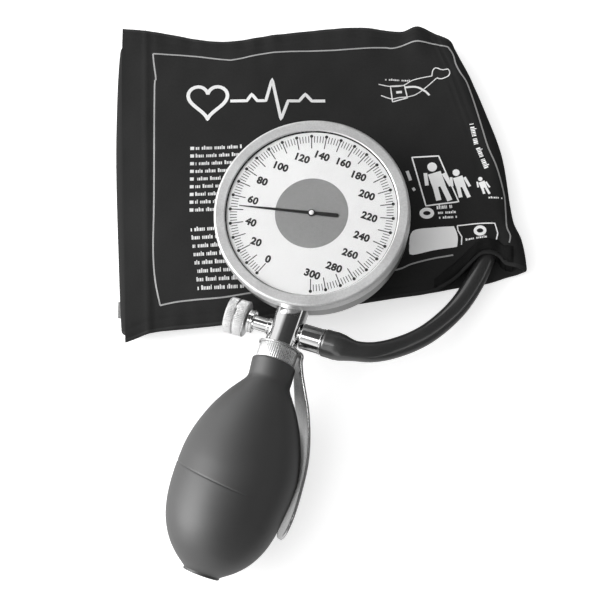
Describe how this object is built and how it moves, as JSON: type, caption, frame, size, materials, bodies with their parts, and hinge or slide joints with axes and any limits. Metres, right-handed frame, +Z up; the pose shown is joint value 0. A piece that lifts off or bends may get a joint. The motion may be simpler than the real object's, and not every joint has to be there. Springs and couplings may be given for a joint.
{
  "type": "aneroid blood pressure monitor",
  "caption": "Palm-type aneroid blood pressure monitor: dial gauge on a valve column with knurled release knob, rubber bulb, spoon handle, hose and folded arm cuff.",
  "frame": {"origin": "middle of the bounding box at the table surface, without the hose", "axes": "+Z up from the table, +Y from the bulb towards the back edge of the folded cuff, +X towards the cuff end where the hose enters"},
  "size_m": [0.1723, 0.2448, 0.0484],
  "materials": {
    "case_paint": "satin",
    "bezel_satin": "satin",
    "polished_chrome": "polished",
    "knurled_nickel": "fine knurl",
    "dial_paint": "satin print",
    "pointer_paint": "satin",
    "cap_white": "gloss",
    "lens_clear": "clear",
    "gasket_rubber": "matt",
    "movement_brass": "machined",
    "movement_steel": "blued spring",
    "capsule_bronze": "rolled",
    "screw_steel": "machined",
    "bulb_rubber": "matt",
    "hose_rubber": "satin",
    "port_plastic": "matt",
    "nylon_face": "fine woven, coated",
    "nylon_lining": "fine woven",
    "binding_tape": "twill tape",
    "bladder_rubber": "matt",
    "hook_tape": "hooks",
    "loop_tape": "loops",
    "label_tape": "satin tape"
  },
  "bodies": {
    "monitor": {"gauge_case": "case_paint", "bezel_ring": "bezel_satin", "lens_gasket": "gasket_rubber", "lens": "lens_clear", "dial_plate": "dial_paint", "hairspring": "movement_steel", "movement_base": "movement_brass", "movement_bridge": "movement_brass", "movement_pillars": "movement_brass", "movement_feet": "movement_brass", "rocker_brackets": "movement_brass", "capsule_base": "capsule_bronze", "pressure_pipe": "capsule_bronze", "gauge_socket": "polished_chrome", "case_screws": "screw_steel", "valve_column": "polished_chrome", "column_seal": "gasket_rubber", "release_bushing": "polished_chrome", "hose_connector": "polished_chrome", "clamp_collar": "knurled_nickel", "check_valve_seat": "screw_steel", "bulb": "bulb_rubber", "inlet_valve_body": "screw_steel", "inlet_valve_plate": "screw_steel", "hose": "hose_rubber", "bladder_port": "port_plastic", "cuff_outer_cloth": "nylon_face", "cuff_inner_cloth": "nylon_lining", "cuff_bladder": "bladder_rubber", "cuff_binding_front": "binding_tape", "cuff_binding_back": "binding_tape", "hook_patch": "hook_tape", "loop_patch": "loop_tape", "side_label": "label_tape"},
    "pointer_works": {"pointer": "pointer_paint", "pointer_cap": "cap_white", "arbor_pinion": "movement_brass"},
    "sector": {"sector_gear": "movement_brass"},
    "rocker": {"rocker": "movement_steel"},
    "capsule_lid": {"capsule_top": "capsule_bronze"},
    "release_seal": {"release_o_ring": "gasket_rubber"},
    "release_valve": {"release_knob": "knurled_nickel", "release_spindle": "screw_steel"},
    "check_disc": {"check_valve_disc": "gasket_rubber"},
    "inlet_ball": {"inlet_valve_ball": "gasket_rubber"},
    "spoon_handle": {"spoon": "polished_chrome"}
  },
  "joints": [
    {"name": "capsule_rise", "type": "slide", "parent": "monitor", "child": "capsule_lid", "axis": [-0.0937, -0.005, 0.9956], "range_m": [-0.00032, 0.00147], "stiffness_N_per_m": 2000},
    {"name": "pointer_turn", "type": "hinge", "parent": "monitor", "child": "pointer_works", "pos_m": [-0.00287, 0.02736, 0.04134], "axis": [0.0937, 0.005, -0.9956], "range_deg": [-56.88, 263.26]},
    {"name": "sector_turn", "type": "hinge", "parent": "monitor", "child": "sector", "pos_m": [-0.00647, 0.04302, 0.03405], "axis": [-0.0937, -0.005, 0.9956], "range_deg": [-4.56, 21.07]},
    {"name": "rocker_tilt", "type": "hinge", "parent": "monitor", "child": "rocker", "pos_m": [-0.00245, 0.03764, 0.03139], "axis": [0.2627, -0.9647, 0.0199], "range_deg": [-5.36, 24.78]},
    {"name": "release_travel", "type": "slide", "parent": "monitor", "child": "release_seal", "axis": [-0.943, 0.321, -0.0872], "range_m": [0, 0.00105]},
    {"name": "release_turn", "type": "hinge", "parent": "release_seal", "child": "release_valve", "pos_m": [-0.03239, -0.01217, 0.02581], "axis": [-0.943, 0.321, -0.0872], "range_deg": [0, 541]},
    {"name": "check_valve_lift", "type": "slide", "parent": "monitor", "child": "check_disc", "axis": [0.3192, 0.9471, 0.0348], "range_m": [0, 0.001], "stiffness_N_per_m": 5},
    {"name": "inlet_valve_lift", "type": "slide", "parent": "monitor", "child": "inlet_ball", "axis": [0.3192, 0.9471, 0.0348], "range_m": [0, 0.0005], "stiffness_N_per_m": 10},
    {"name": "spoon_swing", "type": "hinge", "parent": "monitor", "child": "spoon_handle", "pos_m": [-0.01584, -0.02546, 0.0273], "axis": [-0.3192, -0.9471, -0.0348], "range_deg": [0, 180]}
  ],
  "couplings": [
    {"joint": "pointer_turn", "follows": "capsule_rise", "rad_per_m": 3125},
    {"joint": "sector_turn", "follows": "capsule_rise", "rad_per_m": 250},
    {"joint": "rocker_tilt", "follows": "capsule_rise", "rad_per_m": 294.12},
    {"joint": "release_turn", "follows": "release_travel", "rad_per_m": 8976}
  ]
}
